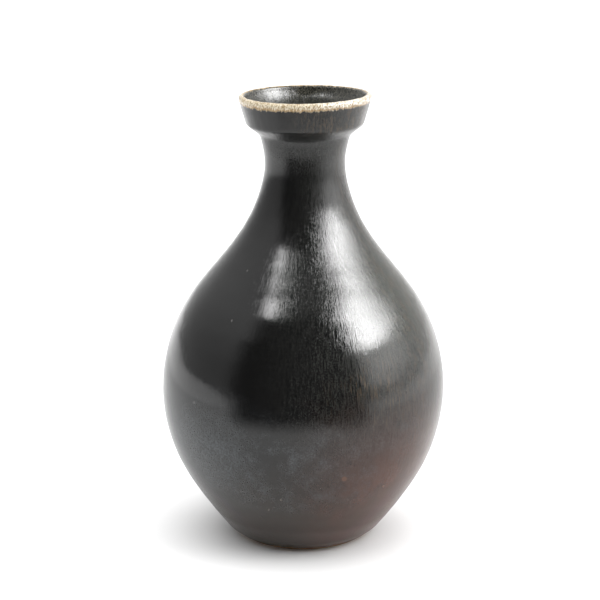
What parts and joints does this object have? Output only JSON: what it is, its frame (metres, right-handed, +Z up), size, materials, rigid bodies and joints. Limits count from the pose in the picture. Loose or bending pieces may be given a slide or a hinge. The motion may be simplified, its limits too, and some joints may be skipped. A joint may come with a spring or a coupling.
{
  "type": "sake bottle",
  "caption": "Round-bellied stoneware sake bottle with a slim neck and a dished mouth, dark streaked glaze and a pale lip, for warming and pouring sake",
  "frame": {"origin": "centre of the foot ring, at the level of the surface that the bottle stands on", "axes": "+Z up along the bottle's axis, from the foot to the mouth; X and Y are level and alike, because the bottle is turned"},
  "size_m": [0.095, 0.095, 0.15],
  "materials": {
    "bare_stoneware": "matt unglazed iron-bearing stoneware with fine sand",
    "dark_iron_glaze": "gloss near-black iron glaze with fine hare's-fur streaks",
    "liner_glaze": "gloss dark grey-green glaze, lightly speckled",
    "pale_lip_glaze": "gloss cream to tan glaze with ochre edges"
  },
  "bodies": {
    "root": {"clay_body": "bare_stoneware", "outer_glaze": "dark_iron_glaze", "inner_glaze": "liner_glaze", "rim_glaze": "pale_lip_glaze"}
  },
  "joints": []
}
